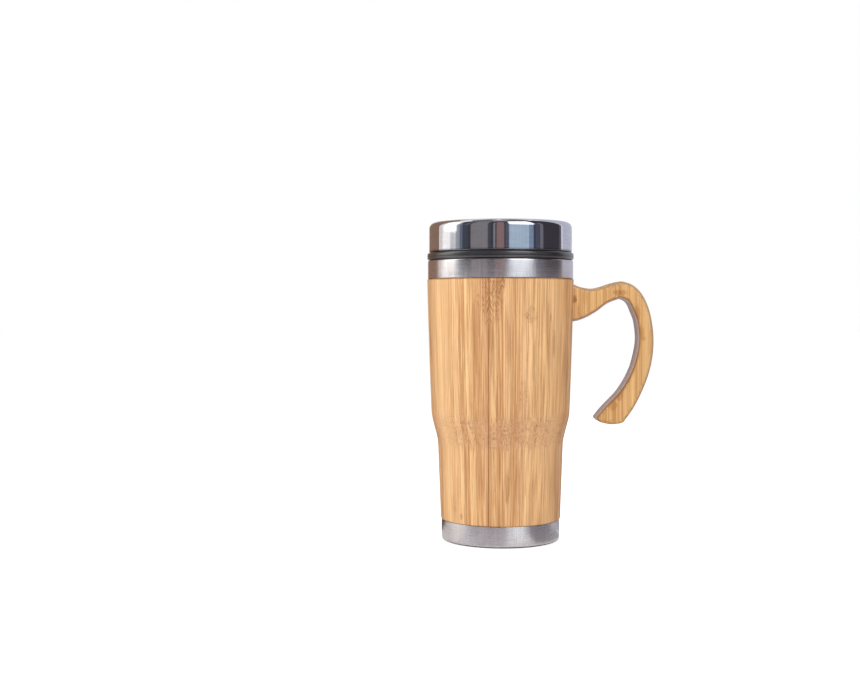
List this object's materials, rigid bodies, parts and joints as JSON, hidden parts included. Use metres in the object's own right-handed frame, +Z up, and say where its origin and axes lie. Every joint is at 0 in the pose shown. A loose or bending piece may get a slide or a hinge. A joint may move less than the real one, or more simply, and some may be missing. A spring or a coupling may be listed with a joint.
{
  "type": "bamboo travel mug",
  "caption": "Travel mug with a steel liner in a shouldered bamboo sleeve, an open bamboo handle and a screw-on lid with a polished cap and a sliding shutter.",
  "frame": {"origin": "centre of the base pad's underside, where the mug stands on the table", "axes": "+Z up along the mug's axis, +X towards the handle, -Y towards the drinking hole"},
  "size_m": [0.1269, 0.0824, 0.1783],
  "materials": {
    "liner_steel": "satin",
    "brushed_steel": "brushed round the axis",
    "polished_steel": "mirror polish",
    "screw_steel": "plain",
    "bamboo": "satin lacquer",
    "bamboo_board": "satin lacquer",
    "black_plastic": "satin",
    "silicone": "matte",
    "base_rubber": "matte"
  },
  "bodies": {
    "cup": {"liner": "liner_steel", "rim_collar": "brushed_steel", "bamboo_sleeve": "bamboo", "base_cup": "brushed_steel", "base_pad": "base_rubber", "handle": "bamboo_board", "handle_screws": "screw_steel"},
    "seal": {"lid_seal": "silicone"},
    "lid": {"lid_base": "black_plastic", "lid_cap": "polished_steel", "lid_deck": "black_plastic"},
    "shutter": {"shutter": "black_plastic", "shutter_seal": "silicone", "shutter_clip": "black_plastic"}
  },
  "joints": [
    {"name": "lid_rise", "type": "slide", "parent": "cup", "child": "seal", "axis": [0, 0, 1], "range_m": [0, 0.018]},
    {"name": "lid_turn", "type": "hinge", "parent": "seal", "child": "lid", "pos_m": [0, 0, 0.157], "axis": [0, 0, 1], "range_deg": [0, 720]},
    {"name": "shutter_slide", "type": "slide", "parent": "lid", "child": "shutter", "axis": [0, 1, 0], "range_m": [0, 0.014]}
  ],
  "couplings": [
    {"joint": "lid_rise", "follows": "lid_turn", "m_per_rad": 0.0014324}
  ]
}
